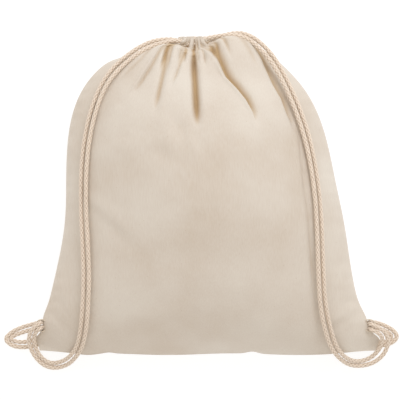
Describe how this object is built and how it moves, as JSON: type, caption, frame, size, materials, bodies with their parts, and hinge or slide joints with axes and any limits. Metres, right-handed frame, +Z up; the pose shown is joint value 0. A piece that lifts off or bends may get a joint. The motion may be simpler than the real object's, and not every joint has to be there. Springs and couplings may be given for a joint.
{
  "type": "drawstring backpack",
  "caption": "Natural cotton drawstring backpack lying on its back, mouth gathered tight, cord shoulder loops laid over the front and threaded through tape tabs at the bottom corners.",
  "frame": {"origin": "middle of the bag's footprint on the surface that it lies on, cords and tape tabs not counted", "axes": "+X across the bag, +Y from the bottom seam to the gathered mouth, +Z up out of the front panel"},
  "size_m": [0.4351, 0.374, 0.1079],
  "materials": {
    "cotton_cloth": "matte",
    "cotton_cloth_edge": "matte",
    "cotton_cord": "matte",
    "cotton_tape": "matte",
    "cotton_thread": "matte"
  },
  "bodies": {
    "root": {"back_casing": "cotton_cloth", "back_casing_stitching": "cotton_thread", "back_panel": "cotton_cloth", "bottom_seam_allowance": "cotton_cloth_edge", "front_casing": "cotton_cloth", "front_casing_stitching": "cotton_thread", "front_panel": "cotton_cloth", "left_cord_back_strand": "cotton_cord", "left_cord_casing_run": "cotton_cord", "left_cord_front_strand": "cotton_cord", "left_cord_knot": "cotton_cord", "left_corner_tab": "cotton_tape", "left_seam_allowance": "cotton_cloth_edge", "left_slit_bartack": "cotton_thread", "left_tab_bartack": "cotton_thread", "right_cord_back_strand": "cotton_cord", "right_cord_casing_run": "cotton_cord", "right_cord_front_strand": "cotton_cord", "right_cord_knot": "cotton_cord", "right_corner_tab": "cotton_tape", "right_seam_allowance": "cotton_cloth_edge", "right_slit_bartack": "cotton_thread", "right_tab_bartack": "cotton_thread"}
  },
  "joints": []
}
